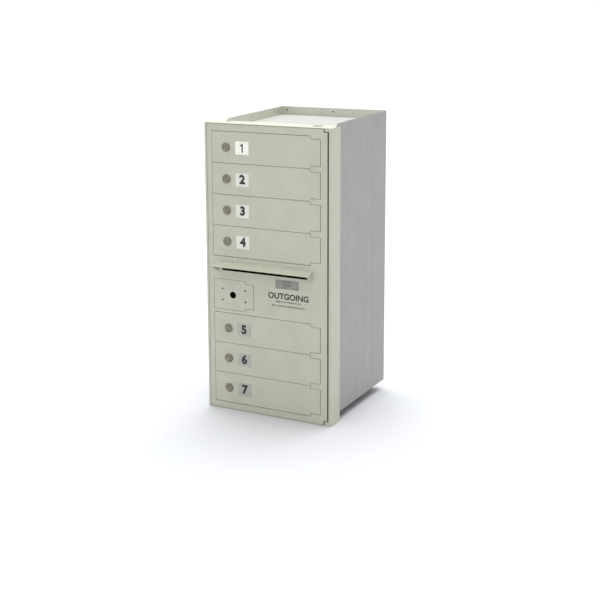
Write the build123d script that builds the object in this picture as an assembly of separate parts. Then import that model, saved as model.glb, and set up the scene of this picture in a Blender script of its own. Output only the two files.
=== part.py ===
from build123d import *
import os

# Front-loading apartment mailbox column, in millimetres.
# The model is drawn with X across the front and zero at the collar's middle, Y measured back
# from the front face, and Z up from the collar's lower edge. place() then moves every piece
# along Y, so that the origin is under the middle of the whole object.

# --- Overall sizes -----------------------------------------------------------------------
COLLAR_WIDTH = 390.0
COLLAR_DEPTH = 57.0
BODY_DEPTH = 380.0
DOOR_PITCH = 88.9
UPPER_DOORS = 4
LOWER_DOORS = 3
TOP_RAIL_HEIGHT = 22.7
MIDDLE_PANEL_HEIGHT = 165.0
BOTTOM_RAIL_HEIGHT = 22.0

# --- Sheet thicknesses -------------------------------------------------------------------
BODY_SHEET = 1.2
SHELF_SHEET = 1.0
FRAME_SHEET = 1.6
MASTER_SHEET = 2.0
DOOR_SHEET = 1.5

# --- Cabinet body ------------------------------------------------------------------------
BODY_INSET_LEFT = 51.0        # latch pocket between the collar and the body's left side
BODY_BOTTOM = 27.0            # body underside above the collar's lower edge
TRAY_WALL_RISE = 9.0          # top walls above the collar's upper edge
TRAY_DEPTH = 24.0             # top walls above the tray floor
BODY_FRONT = 34.0             # front edges of the side panels, behind the face
TRAY_WALL_CHAMFER = 8.0
SHELF_FRONT = 36.0            # front edges of the shelves, behind the face
SHELF_LIP = 12.0
PANEL_RETURN = 15.0
TRAY_HOLE_RADIUS = 2.5
TRAY_HOLE_DROP = 10.5         # hole centres below the top of the tray walls
SIDE_HOLES_FROM_BACK = (199.0, 55.0, 27.0)
BACK_HOLE_SPACING = 152.0
RAIL_HOLE_RADIUS = 2.5
RAIL_HOLES_FROM_LEFT = (80.0, 177.0, 287.0, 308.0)
RAIL_HOLE_BEHIND_FACE = 42.0
PLUG_RADIUS = 13.5
PLUG_FROM_RIGHT = 57.0
PLUG_BEHIND_FACE = 36.0
PLUG_FLANGE = 1.5
PLUG_FLANGE_THICKNESS = 0.8
RIVET_RADIUS = 2.4
RIVET_HEAD_RADIUS = 4.0
RIVET_HEAD_HEIGHT = 1.2
BACK_RIVET_ROWS = 4
BACK_RIVET_MARGIN = 60.0
SLOT_CLEARANCE = 0.5          # around the tray walls where they pass the top rail

# --- Collar stiles and master door -------------------------------------------------------
LEFT_LIP = 6.5
RIGHT_LIP = 8.0
MASTER_GAP_LEFT = 1.0
MASTER_GAP_RIGHT = 4.0
MASTER_GAP_ENDS = 1.0
MASTER_RETURN = 10.0          # depth of the folded edges behind the face
MASTER_PIVOT_INSET = 4.5      # hinge axis in from the door's right edge
MASTER_PIVOT_DEPTH = 4.2
MASTER_PIN_RADIUS = 1.6
MASTER_TAB_WIDTH = 12.6       # fixed hinge tabs in the door's right corners
MASTER_TAB_TOP = 9.5
MASTER_TAB_BOTTOM = 12.5
MASTER_TAB_DEPTH = 12.0
MASTER_TAB_GAP = 2.6
MASTER_LUG = 2.0
DOOR_PIN_RADIUS = 2.0
PIN_CLEARANCE = 0.06
PIN_STANDOUT = 1.2

# --- Tenant doors ------------------------------------------------------------------------
DOOR_LEFT = 23.4              # left edges of the doors, in from the collar's left side
DOOR_RIGHT = 33.6             # right edges of the doors, in from the collar's right side
DOOR_SEAM = 1.0               # between neighbouring doors
DOOR_GAP = 0.7                # to the left, above and below each group of doors
DOOR_GAP_RIGHT = 1.6
DOOR_RETURN = 11.0
DOOR_EDGE_RADIUS = 0.7
TAB_WIDTH = 28.4              # hinge tabs of the master door, between the doors
TAB_HALF_HEIGHT = 7.75
TAB_GAP = 1.0
PIVOT_INSET = 10.0            # hinge axis in from a door's right edge
PIVOT_DEPTH = 5.0
BRACKET_HALF_HEIGHT = 6.25
BRACKET_DEPTH = 7.2
BRACKET_REACH = 8.0

# --- Locks and number plates -------------------------------------------------------------
LOCK_FROM_LEFT = 45.4         # lock axis in from a door's left edge
LOCK_HEAD_LAP = 3.0           # head beyond the barrel all round
LOCK_HEAD_HEIGHT = 4.5
LOCK_BARREL_RADIUS = 9.5
LOCK_PLUG_RADIUS = 6.0
LOCK_PLUG_CLEARANCE = 0.05
LOCK_NUT_WALL = 2.5           # nut beyond the barrel at its flats
LOCK_NUT_THICKNESS = 4.0
KEYWAY_WIDTH = 1.6
KEYWAY_HEIGHT = 8.0
KEYWAY_DEPTH = 10.0
CAM_CLEARANCE = 1.2           # between the cam and the strike strip it turns behind
CAM_BARREL_GAP = 1.0          # between the end of the barrel and the cam
CAM_THICKNESS = 2.0
CAM_REACH = 40.0
CAM_WIDTH = 12.0
CAM_SQUARE = 7.0
CAM_SCREW_RADIUS = 2.0
CAM_SCREW_HEAD_RADIUS = 5.0
CAM_SCREW_HEAD_HEIGHT = 2.4
PLATE_FROM_LEFT = 74.6
PLATE_WIDTH = 42.0
PLATE_HEIGHT = 37.0
PLATE_THICKNESS = 0.6

# --- Strike strips behind the doors' left edges -------------------------------------------
STRIP_LEG = 19.0              # strip's leg, in from the collar's left side
STRIP_EDGE = 38.0
STRIP_SHEET = 2.0
STRIP_CLEARANCE = 2.0         # between the doors' folded edges and the strip
STRIP_END_MARGIN = 5.0

# --- Latch bar of the master door --------------------------------------------------------
LATCH_TRAVEL = 12.0
LATCH_BAR_LEFT = 13.5
LATCH_BAR_WIDTH = 4.0
LATCH_BAR_FRONT = 4.0
LATCH_BAR_BACK = 17.0
LATCH_BAR_SPARE = 3.0         # bar left beyond its end hook and guide when it is slid
HOOK_LEFT = 7.5
HOOK_THICKNESS = 3.0
HOOK_HEIGHT = 16.0
HOOK_BELOW_STRIKE = 2.0
STRIKE_LEFT_LEG = 2.0
STRIKE_RIGHT = 12.3
STRIKE_FRONT = 11.0
STRIKE_SHEET = 2.0
STRIKE_BACK = 30.0
STRIKE_HEIGHT = 18.0
STRIKE_END_MARGIN = 125.0     # lowest and highest strikes, in from the collar's ends
GUIDE_ABOVE_STRIKE = 35.0     # the highest guide above the highest strike
GUIDE_HEIGHT = 20.0
GUIDE_CLEARANCE = 0.4
GUIDE_WALL = 2.0
FINGER_TAB_HEIGHT = 24.0
FINGER_TAB_RIGHT = 45.0

# --- Middle panel: letter slot, hood and the master lock's door ---------------------------
SLOT_FROM_LEFT = 51.0
SLOT_FROM_RIGHT = 72.0
SLOT_HEIGHT = 19.0
SLOT_BELOW_UPPER_DOORS = 22.0
HOOD_OVERHANG = 15.0          # hood beyond each end of the slot
HOOD_REACH = 30.0
HOOD_DROP = 9.0
HOOD_SHEET = 1.5
HOOD_ABOVE_SLOT = 6.0
HOOD_CHEEK_HEIGHT = 29.0
HOOD_CHEEK_LIP = 4.0
BAFFLE_SHEET = 1.2
BAFFLE_OVERLAP = 4.0
BAFFLE_FLANGE = 16.0
BAFFLE_REACH = 25.0
BAFFLE_DROP = 24.0
BAFFLE_RIVET_INSET = 42.4      # in from each end of the slot
BAFFLE_RIVET_BELOW_DOORS = 5.5
BAFFLE_TOP_GAP = 1.0           # between the baffle and the level of the doors above it
LOCK_DOOR_WIDTH = 127.0
LOCK_DOOR_HEIGHT = 88.0
LOCK_DOOR_ABOVE_LOWER_DOORS = 10.0
LOCK_DOOR_TAB_WIDTH = 25.6
LOCK_DOOR_TAB_HEIGHT = 7.0
KEYHOLE_RADIUS = 10.0
KEYHOLE_FROM_LEFT = 61.0
LOCK_BOLT_RADIUS = 2.75
LOCK_BOLT_SPACING_X = 73.5
LOCK_BOLT_SPACING_Z = 32.0
LOCK_BOLTS_FROM_LEFT = 64.0
LABEL_WIDTH = 72.0
LABEL_HEIGHT = 26.0
LABEL_THICKNESS = 0.4
LABEL_FROM_RIGHT = 97.7
LABEL_BELOW_UPPER_DOORS = 49.5

# --- Places worked out from the sizes above -----------------------------------------------
LOWER_BASE = BOTTOM_RAIL_HEIGHT
LOWER_TOP = LOWER_BASE + LOWER_DOORS * DOOR_PITCH
UPPER_BASE = LOWER_TOP + MIDDLE_PANEL_HEIGHT
UPPER_TOP = UPPER_BASE + UPPER_DOORS * DOOR_PITCH
COLLAR_HEIGHT = UPPER_TOP + TOP_RAIL_HEIGHT
WALL_TOP = COLLAR_HEIGHT + TRAY_WALL_RISE
TRAY_FLOOR = WALL_TOP - TRAY_DEPTH
LEFT = -COLLAR_WIDTH / 2
RIGHT = COLLAR_WIDTH / 2
BODY_LEFT = LEFT + BODY_INSET_LEFT
BODY_RIGHT = RIGHT - FRAME_SHEET
INNER_LEFT = BODY_LEFT + BODY_SHEET
INNER_RIGHT = BODY_RIGHT - BODY_SHEET
BACK_INNER = BODY_DEPTH - BODY_SHEET
MASTER_LEFT = LEFT + LEFT_LIP + MASTER_GAP_LEFT
MASTER_RIGHT = RIGHT - RIGHT_LIP - MASTER_GAP_RIGHT
MASTER_BASE = FRAME_SHEET + MASTER_GAP_ENDS
MASTER_TOP = COLLAR_HEIGHT - FRAME_SHEET - MASTER_GAP_ENDS
MASTER_PIVOT = MASTER_RIGHT - MASTER_PIVOT_INSET
MASTER_TAB_LEFT = RIGHT - RIGHT_LIP - MASTER_TAB_WIDTH
DOOR_X0 = LEFT + DOOR_LEFT
DOOR_X1 = RIGHT - DOOR_RIGHT
TAB_X0 = DOOR_X1 - TAB_WIDTH
PIVOT_X = DOOR_X1 - PIVOT_INSET
LOCK_X = DOOR_X0 + LOCK_FROM_LEFT
LOCK_DOOR_X1 = DOOR_X0 + LOCK_DOOR_WIDTH
LOCK_DOOR_Z0 = LOWER_TOP + LOCK_DOOR_ABOVE_LOWER_DOORS
LOCK_DOOR_Z1 = LOCK_DOOR_Z0 + LOCK_DOOR_HEIGHT
LOCK_DOOR_MIDDLE = (LOCK_DOOR_Z0 + LOCK_DOOR_Z1) / 2
LOCK_DOOR_TAB_X0 = LOCK_DOOR_X1 - LOCK_DOOR_TAB_WIDTH
LOCK_DOOR_PIVOT = LOCK_DOOR_X1 - PIVOT_INSET
SLOT_X0 = LEFT + SLOT_FROM_LEFT
SLOT_X1 = RIGHT - SLOT_FROM_RIGHT
SLOT_Z1 = UPPER_BASE - SLOT_BELOW_UPPER_DOORS
SLOT_Z0 = SLOT_Z1 - SLOT_HEIGHT
HOOD_ROOT = SLOT_Z1 + HOOD_ABOVE_SLOT
BAFFLE_RIVETS = (SLOT_X0 + BAFFLE_RIVET_INSET, SLOT_X1 - BAFFLE_RIVET_INSET)
BAFFLE_RIVET_LEVEL = UPPER_BASE - BAFFLE_RIVET_BELOW_DOORS
EAR_EDGE = TAB_HALF_HEIGHT + TAB_GAP
STRIP_DEPTH = DOOR_RETURN + STRIP_CLEARANCE
CAM_DEPTH = STRIP_DEPTH + STRIP_SHEET + CAM_CLEARANCE
LOCK_BARREL_LENGTH = CAM_DEPTH - CAM_BARREL_GAP
LOCK_HEAD_RADIUS = LOCK_BARREL_RADIUS + LOCK_HEAD_LAP
STRIKE_LEVELS = (STRIKE_END_MARGIN, COLLAR_HEIGHT / 2, COLLAR_HEIGHT - STRIKE_END_MARGIN)
GUIDE_LEVELS = (
    (STRIKE_LEVELS[0] + STRIKE_LEVELS[1]) / 2,
    (STRIKE_LEVELS[1] + STRIKE_LEVELS[2]) / 2,
    STRIKE_LEVELS[2] + GUIDE_ABOVE_STRIKE,
)
LATCH_BAR_TAIL = LATCH_TRAVEL + LATCH_BAR_SPARE
LATCH_BAR_LOW = STRIKE_LEVELS[0] - HOOK_BELOW_STRIKE - HOOK_HEIGHT - LATCH_BAR_TAIL
LATCH_BAR_HIGH = GUIDE_LEVELS[-1] + GUIDE_HEIGHT + LATCH_BAR_TAIL
FINGER_TAB_LEVEL = LOCK_DOOR_MIDDLE - FINGER_TAB_HEIGHT / 2
ORIGIN_SHIFT = (HOOD_REACH - BODY_DEPTH) / 2


# --- Small builders ----------------------------------------------------------------------
def block(x, y, z):
    """A box from three (low, high) pairs."""
    size = [high - low for low, high in (x, y, z)]
    middle = [(high + low) / 2 for low, high in (x, y, z)]
    return Pos(*middle) * Box(*size)


def rod_z(x, y, z, radius):
    """An upright cylinder over the span z."""
    return Pos(x, y, (z[0] + z[1]) / 2) * Cylinder(radius, z[1] - z[0])


def rod_y(x, y, z, radius):
    """A cylinder along the depth over the span y."""
    return Pos(x, (y[0] + y[1]) / 2, z) * Rot(90, 0, 0) * Cylinder(radius, y[1] - y[0])


def rod_x(x, y, z, radius):
    """A cylinder across the width over the span x."""
    return Pos((x[0] + x[1]) / 2, y, z) * Rot(0, 90, 0) * Cylinder(radius, x[1] - x[0])


def prism_x(x, outline):
    """A closed (y, z) outline, extruded over the span x."""
    face = make_face(Polyline(*[(x[0], y, z) for y, z in outline], close=True))
    return extrude(face, amount=x[1] - x[0], dir=(1, 0, 0))


def group_seams():
    """The levels of the hinge tabs: each group's ends and its seams between doors."""
    lower = [LOWER_BASE + k * DOOR_PITCH for k in range(LOWER_DOORS + 1)]
    upper = [UPPER_BASE + k * DOOR_PITCH for k in range(UPPER_DOORS + 1)]
    return lower, upper


def door_base(number):
    """The lower seam of a tenant door; number one is at the top."""
    if number <= UPPER_DOORS:
        return UPPER_TOP - number * DOOR_PITCH
    return LOWER_TOP - (number - UPPER_DOORS) * DOOR_PITCH


# --- Cabinet body ------------------------------------------------------------------------
def side_wall(x):
    """A flat side of the body, with its top front corner cut off where the wall begins."""
    chamfer = TRAY_WALL_CHAMFER
    return prism_x(x, [
        (BODY_FRONT, BODY_BOTTOM), (BACK_INNER, BODY_BOTTOM), (BACK_INNER, WALL_TOP),
        (BODY_FRONT + chamfer, WALL_TOP), (BODY_FRONT, WALL_TOP - chamfer),
    ])


def side_panel(outer, inward):
    """A body side with a folded strip at its back edge; inward is +1 or -1 along X."""
    inner = outer + inward * BODY_SHEET
    strip = inner + inward * PANEL_RETURN
    panel = side_wall((min(outer, inner), max(outer, inner)))
    panel += block((min(inner, strip), max(inner, strip)), (BACK_INNER - BODY_SHEET, BACK_INNER),
                   (BODY_BOTTOM + BODY_SHEET, TRAY_FLOOR - BODY_SHEET))
    for from_back in SIDE_HOLES_FROM_BACK:
        panel -= rod_x((min(outer, inner), max(outer, inner)), BODY_DEPTH - from_back,
                       WALL_TOP - TRAY_HOLE_DROP, TRAY_HOLE_RADIUS)
    for level in back_rivet_levels():
        panel -= rod_y(back_rivet_x(-inward), (BACK_INNER - BODY_SHEET, BACK_INNER), level,
                       RIVET_RADIUS)
    return panel


def back_rivet_levels():
    """Levels of the rivets that hold the back panel to the sides."""
    low = BODY_BOTTOM + BACK_RIVET_MARGIN
    step = (TRAY_FLOOR - BACK_RIVET_MARGIN - low) / (BACK_RIVET_ROWS - 1)
    return [low + k * step for k in range(BACK_RIVET_ROWS)]


def back_rivet_x(side):
    """The rivet line on the left (-1) or right (+1) folded strip."""
    edge = INNER_RIGHT if side > 0 else INNER_LEFT
    return edge - side * PANEL_RETURN / 2


def back_panel():
    """The full-height back, with a row of holes in its top wall."""
    panel = block((BODY_LEFT, BODY_RIGHT), (BACK_INNER, BODY_DEPTH), (BODY_BOTTOM, WALL_TOP))
    middle = (BODY_LEFT + BODY_RIGHT) / 2
    for step in (-1, 0, 1):
        panel -= rod_y(middle + step * BACK_HOLE_SPACING, (BACK_INNER, BODY_DEPTH),
                       WALL_TOP - TRAY_HOLE_DROP, TRAY_HOLE_RADIUS)
    for side in (-1, 1):
        for level in back_rivet_levels():
            panel -= rod_y(back_rivet_x(side), (BACK_INNER, BODY_DEPTH), level, RIVET_RADIUS)
    return panel


def cabinet_rivets():
    """Blind rivets through the back panel and the folded strips of the sides."""
    rivets = []
    for side in (-1, 1):
        for level in back_rivet_levels():
            x = back_rivet_x(side)
            shank = rod_y(x, (BACK_INNER - BODY_SHEET, BODY_DEPTH), level, RIVET_RADIUS)
            tail = rod_y(x, (BACK_INNER - BODY_SHEET - RIVET_HEAD_HEIGHT, BACK_INNER - BODY_SHEET),
                         level, RIVET_RADIUS)
            rivets.append(shank + tail)
    return Compound(children=rivets)


def folded_deck(level, sheet, lip):
    """A flat deck whose top is at level, with a lip folded down along its front edge."""
    deck = block((INNER_LEFT, INNER_RIGHT), (SHELF_FRONT, BACK_INNER - BODY_SHEET),
                 (level - sheet, level))
    lip_span = (level - sheet - lip, level - sheet)
    deck += block((INNER_LEFT, INNER_RIGHT), (SHELF_FRONT, SHELF_FRONT + sheet), lip_span)
    return deck


def bottom_panel():
    """The body's floor, lying between the two sides."""
    return block((INNER_LEFT, INNER_RIGHT), (SHELF_FRONT, BACK_INNER),
                 (BODY_BOTTOM, BODY_BOTTOM + BODY_SHEET))


def top_panel():
    """The tray floor, which is also the ceiling of the uppermost compartment."""
    return block((INNER_LEFT, INNER_RIGHT), (SHELF_FRONT, BACK_INNER),
                 (TRAY_FLOOR - BODY_SHEET, TRAY_FLOOR))


# --- Collar ------------------------------------------------------------------------------
def left_stile():
    """Side plate, narrow front lip and the plate that closes the latch pocket behind."""
    inner = LEFT + FRAME_SHEET
    back = (COLLAR_DEPTH - FRAME_SHEET, COLLAR_DEPTH)
    stile = block((LEFT, inner), (0, COLLAR_DEPTH), (0, COLLAR_HEIGHT))
    stile += block((inner, LEFT + LEFT_LIP), (0, FRAME_SHEET), (FRAME_SHEET, COLLAR_HEIGHT - FRAME_SHEET))
    stile += block((inner, BODY_LEFT), back, (FRAME_SHEET, COLLAR_HEIGHT - FRAME_SHEET))
    return stile


def right_stile():
    """Side plate and front lip on the hinge side."""
    inner = RIGHT - FRAME_SHEET
    stile = block((inner, RIGHT), (0, COLLAR_DEPTH), (0, COLLAR_HEIGHT))
    stile += block((RIGHT - RIGHT_LIP, inner), (0, FRAME_SHEET),
                   (FRAME_SHEET, COLLAR_HEIGHT - FRAME_SHEET))
    return stile


def top_rail():
    """Top plate and the strip that steps down to the tray floor behind it."""
    across = (LEFT + FRAME_SHEET, RIGHT - FRAME_SHEET)
    plate = (COLLAR_HEIGHT - FRAME_SHEET, COLLAR_HEIGHT)
    rail = block(across, (0, COLLAR_DEPTH), plate)
    rail += block((INNER_LEFT, INNER_RIGHT), (COLLAR_DEPTH - FRAME_SHEET, COLLAR_DEPTH),
                  (TRAY_FLOOR, plate[0]))
    for wall in ((BODY_LEFT, INNER_LEFT), (INNER_RIGHT, BODY_RIGHT)):
        slot = (wall[0] - SLOT_CLEARANCE, wall[1] + SLOT_CLEARANCE)
        rail -= block(slot, (BODY_FRONT - SLOT_CLEARANCE, COLLAR_DEPTH), plate)
    for x in RAIL_HOLES_FROM_LEFT:
        rail -= rod_z(LEFT + x, RAIL_HOLE_BEHIND_FACE, plate, RAIL_HOLE_RADIUS)
    rail -= rod_z(RIGHT - PLUG_FROM_RIGHT, PLUG_BEHIND_FACE, plate, PLUG_RADIUS)
    return rail


def bottom_rail():
    """Bottom plate and the strip that rises to the body's floor behind it."""
    across = (LEFT + FRAME_SHEET, RIGHT - FRAME_SHEET)
    rail = block(across, (0, COLLAR_DEPTH), (0, FRAME_SHEET))
    rail += block((BODY_LEFT, across[1]), (COLLAR_DEPTH - FRAME_SHEET, COLLAR_DEPTH),
                  (FRAME_SHEET, BODY_BOTTOM))
    return rail


def rail_plug():
    """A pressed cap that closes the round service hole in the top rail."""
    x, y = RIGHT - PLUG_FROM_RIGHT, PLUG_BEHIND_FACE
    cap = rod_z(x, y, (COLLAR_HEIGHT - FRAME_SHEET, COLLAR_HEIGHT), PLUG_RADIUS)
    cap += rod_z(x, y, (COLLAR_HEIGHT, COLLAR_HEIGHT + PLUG_FLANGE_THICKNESS),
                 PLUG_RADIUS + PLUG_FLANGE)
    return cap


def master_hinge_spans():
    """The upper and lower fixed tabs, as (low, high) levels."""
    upper = (COLLAR_HEIGHT - MASTER_TAB_TOP, COLLAR_HEIGHT - FRAME_SHEET)
    lower = (FRAME_SHEET, MASTER_TAB_BOTTOM)
    return lower, upper


def master_pin_spans():
    """Pins from inside each fixed tab, through the gap and the door's lug."""
    reach = MASTER_TAB_GAP + MASTER_LUG + PIN_STANDOUT
    lower, upper = master_hinge_spans()
    return (lower[0], lower[1] + reach), (upper[0] - reach, upper[1])


def master_hinge_tabs():
    """Fixed tabs that fill the right corners of the master door and hold its pins."""
    tabs = []
    for span, pin in zip(master_hinge_spans(), master_pin_spans()):
        tab = block((MASTER_TAB_LEFT, RIGHT - RIGHT_LIP), (0, MASTER_TAB_DEPTH), span)
        tabs.append(tab - rod_z(MASTER_PIVOT, MASTER_PIVOT_DEPTH, pin, MASTER_PIN_RADIUS))
    return Compound(children=tabs)


def master_hinge_pins():
    return Compound(children=[
        rod_z(MASTER_PIVOT, MASTER_PIVOT_DEPTH, span, MASTER_PIN_RADIUS)
        for span in master_pin_spans()
    ])


def latch_strikes():
    """Brackets on the left stile that the latch bar's hooks catch behind."""
    strikes = []
    inner = LEFT + FRAME_SHEET
    for level in STRIKE_LEVELS:
        span = (level, level + STRIKE_HEIGHT)
        leg = block((inner, inner + STRIKE_LEFT_LEG), (STRIKE_FRONT, STRIKE_BACK), span)
        arm = block((inner + STRIKE_LEFT_LEG, LEFT + STRIKE_RIGHT),
                    (STRIKE_FRONT, STRIKE_FRONT + STRIKE_SHEET), span)
        strikes.append(leg + arm)
    return Compound(children=strikes)


# --- Doors in folded sheet ---------------------------------------------------------------
def notched_outline(x, tab_x, z, notch, inset):
    """A door's outline with both right corners notched, drawn in by inset."""
    left, right, step = x[0] + inset, x[1] - inset, tab_x - inset
    low, high = z[0] + inset, z[1] - inset
    return [
        (left, low), (step, low), (step, low + notch), (right, low + notch),
        (right, high - notch), (step, high - notch), (step, high), (left, high),
    ]


def folded_door(x, tab_x, z, notch):
    """A door pan: a face with every edge, notches included, folded back."""
    shapes = []
    for inset, front in ((0, 0), (DOOR_SHEET, DOOR_SHEET)):
        outline = notched_outline(x, tab_x, z, notch, inset)
        face = make_face(Polyline(*[(px, front, pz) for px, pz in outline], close=True))
        shapes.append(extrude(face, amount=DOOR_RETURN - front, dir=(0, 1, 0)))
    shell, hollow = shapes
    front_edges = shell.edges().filter_by(lambda edge: abs(edge.center().Y) < 1e-6)
    shell = fillet(front_edges, DOOR_EDGE_RADIUS)
    return shell - hollow


def drill_ears(door, pivot, z):
    """Cut the hinge holes through the folded ears at a door's notches."""
    return door - rod_z(pivot, PIVOT_DEPTH, z, DOOR_PIN_RADIUS + PIN_CLEARANCE)


def tenant_door(number):
    """One tenant's door, with its lock hole."""
    base = door_base(number)
    z = (base + DOOR_SEAM / 2, base + DOOR_PITCH - DOOR_SEAM / 2)
    notch = EAR_EDGE - DOOR_SEAM / 2
    door = folded_door((DOOR_X0, DOOR_X1), TAB_X0 - TAB_GAP, z, notch)
    door = drill_ears(door, PIVOT_X, z)
    return door - rod_y(LOCK_X, (0, DOOR_SHEET), base + DOOR_PITCH / 2, LOCK_BARREL_RADIUS)


def lock_door():
    """The small door that carries the master lock, with its bolt holes and keyhole."""
    z = (LOCK_DOOR_Z0, LOCK_DOOR_Z1)
    door = folded_door((DOOR_X0, LOCK_DOOR_X1), LOCK_DOOR_TAB_X0 - TAB_GAP, z,
                       LOCK_DOOR_TAB_HEIGHT + TAB_GAP)
    door = drill_ears(door, LOCK_DOOR_PIVOT, z)
    door -= rod_y(DOOR_X0 + KEYHOLE_FROM_LEFT, (0, DOOR_SHEET), LOCK_DOOR_MIDDLE, KEYHOLE_RADIUS)
    for across in (-0.5, 0.5):
        for up in (-0.5, 0.5):
            door -= rod_y(DOOR_X0 + LOCK_BOLTS_FROM_LEFT + across * LOCK_BOLT_SPACING_X,
                          (0, DOOR_SHEET), LOCK_DOOR_MIDDLE + up * LOCK_BOLT_SPACING_Z,
                          LOCK_BOLT_RADIUS)
    return door


# --- Master door -------------------------------------------------------------------------
def door_window(seams):
    """The opening for one group of doors; the hinge tabs stay standing in it."""
    through = (0, MASTER_SHEET)
    window = block((DOOR_X0 - DOOR_GAP, TAB_X0), through,
                   (seams[0] - DOOR_GAP, seams[-1] + DOOR_GAP))
    for low, high in zip(seams, seams[1:]):
        window += block((TAB_X0, DOOR_X1 + DOOR_GAP_RIGHT), through,
                        (low + TAB_HALF_HEIGHT, high - TAB_HALF_HEIGHT))
    return window


def lock_door_window():
    """The opening for the master lock's door."""
    through = (0, MASTER_SHEET)
    window = block((DOOR_X0 - DOOR_GAP, LOCK_DOOR_TAB_X0), through,
                   (LOCK_DOOR_Z0 - DOOR_GAP, LOCK_DOOR_Z1 + DOOR_GAP))
    window += block((LOCK_DOOR_TAB_X0, LOCK_DOOR_X1 + DOOR_GAP_RIGHT), through,
                    (LOCK_DOOR_Z0 + LOCK_DOOR_TAB_HEIGHT, LOCK_DOOR_Z1 - LOCK_DOOR_TAB_HEIGHT))
    return window


def master_corner_cuts():
    """Room for the frame's fixed tabs, as two (low, high) spans of the door."""
    lower, upper = master_hinge_spans()
    return (MASTER_BASE, lower[1] + MASTER_TAB_GAP), (upper[0] - MASTER_TAB_GAP, MASTER_TOP)


def master_door_panel():
    """The whole front: a folded sheet that carries every door and swings on the right."""
    lower_seams, upper_seams = group_seams()
    across, up = (MASTER_LEFT, MASTER_RIGHT), (MASTER_BASE, MASTER_TOP)
    inside = MASTER_SHEET
    panel = block(across, (0, MASTER_RETURN), up)
    panel -= block((across[0] + inside, across[1] - inside), (inside, MASTER_RETURN),
                   (up[0] + inside, up[1] - inside))
    for low, high in master_corner_cuts():
        panel -= block((MASTER_TAB_LEFT - MASTER_TAB_GAP, MASTER_RIGHT), (0, MASTER_RETURN),
                       (low, high))
    panel -= door_window(lower_seams)
    panel -= door_window(upper_seams)
    panel -= lock_door_window()
    panel -= block((SLOT_X0, SLOT_X1), (0, inside), (SLOT_Z0, SLOT_Z1))
    for x in BAFFLE_RIVETS:
        panel -= rod_y(x, (0, inside), BAFFLE_RIVET_LEVEL, RIVET_RADIUS)
    return panel + master_lugs()


def master_lugs():
    """Plates behind the face, beside the corner cuts, that turn on the fixed pins."""
    (_, low_edge), (high_edge, _) = master_corner_cuts()
    lugs = []
    for span in ((low_edge, low_edge + MASTER_LUG), (high_edge - MASTER_LUG, high_edge)):
        lug = block((MASTER_TAB_LEFT - MASTER_TAB_GAP, MASTER_RIGHT - MASTER_SHEET),
                    (MASTER_SHEET, MASTER_RETURN), span)
        hole = rod_z(MASTER_PIVOT, MASTER_PIVOT_DEPTH, span, MASTER_PIN_RADIUS + PIN_CLEARANCE)
        lugs.append(lug - hole)
    return lugs


def hinge_stations():
    """Every door hinge on the master door, as (pivot x, level, has door below, has door above)."""
    stations = []
    for seams in group_seams():
        for k, level in enumerate(seams):
            stations.append((PIVOT_X, level, k > 0, k < len(seams) - 1))
    offset = TAB_HALF_HEIGHT - LOCK_DOOR_TAB_HEIGHT
    stations.append((LOCK_DOOR_PIVOT, LOCK_DOOR_Z0 - offset, False, True))
    stations.append((LOCK_DOOR_PIVOT, LOCK_DOOR_Z1 + offset, True, False))
    return stations


def hinge_pin_span(level, below, above):
    """From inside the bracket out through the ear of each neighbouring door."""
    reach = EAR_EDGE + DOOR_SHEET + PIN_STANDOUT
    low = level - (reach if below else BRACKET_HALF_HEIGHT)
    high = level + (reach if above else BRACKET_HALF_HEIGHT)
    return low, high


def hinge_brackets():
    """Blocks welded behind the hinge tabs, bored for the door pins."""
    brackets = []
    for pivot, level, _, _ in hinge_stations():
        span = (level - BRACKET_HALF_HEIGHT, level + BRACKET_HALF_HEIGHT)
        bracket = block((pivot - BRACKET_REACH, pivot + PIVOT_INSET + BRACKET_REACH / 2),
                        (MASTER_SHEET, MASTER_SHEET + BRACKET_DEPTH), span)
        brackets.append(bracket - rod_z(pivot, PIVOT_DEPTH, span, DOOR_PIN_RADIUS))
    return Compound(children=brackets)


def door_hinge_pins():
    return Compound(children=[
        rod_z(pivot, PIVOT_DEPTH, hinge_pin_span(level, below, above), DOOR_PIN_RADIUS)
        for pivot, level, below, above in hinge_stations()
    ])


def strike_strips():
    """Angle strips behind the doors' left edges, which the lock cams turn behind."""
    strips = []
    for seams in group_seams():
        span = (seams[0] + STRIP_END_MARGIN, seams[-1] - STRIP_END_MARGIN)
        leg_x = (LEFT + STRIP_LEG, LEFT + STRIP_LEG + STRIP_SHEET)
        leg = block(leg_x, (MASTER_SHEET, STRIP_DEPTH + STRIP_SHEET), span)
        plate = block((leg_x[1], LEFT + STRIP_EDGE), (STRIP_DEPTH, STRIP_DEPTH + STRIP_SHEET), span)
        strips.append(leg + plate)
    return Compound(children=strips)


def slot_hood():
    """The sloped rain and fishing guard over the letter slot, with its two cheeks."""
    x0, x1 = SLOT_X0 - HOOD_OVERHANG, SLOT_X1 + HOOD_OVERHANG
    lip = HOOD_ROOT - HOOD_DROP
    roof = prism_x((x0, x1), [
        (0, HOOD_ROOT), (0, HOOD_ROOT - HOOD_SHEET), (-HOOD_REACH, lip - HOOD_SHEET),
        (-HOOD_REACH, lip),
    ])
    cheek = [
        (0, HOOD_ROOT - HOOD_SHEET), (0, HOOD_ROOT - HOOD_CHEEK_HEIGHT),
        (-HOOD_REACH, lip - HOOD_CHEEK_LIP), (-HOOD_REACH, lip - HOOD_SHEET),
    ]
    for edge in (x0, x1 - HOOD_SHEET):
        roof += prism_x((edge, edge + HOOD_SHEET), cheek)
    return roof


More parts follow.
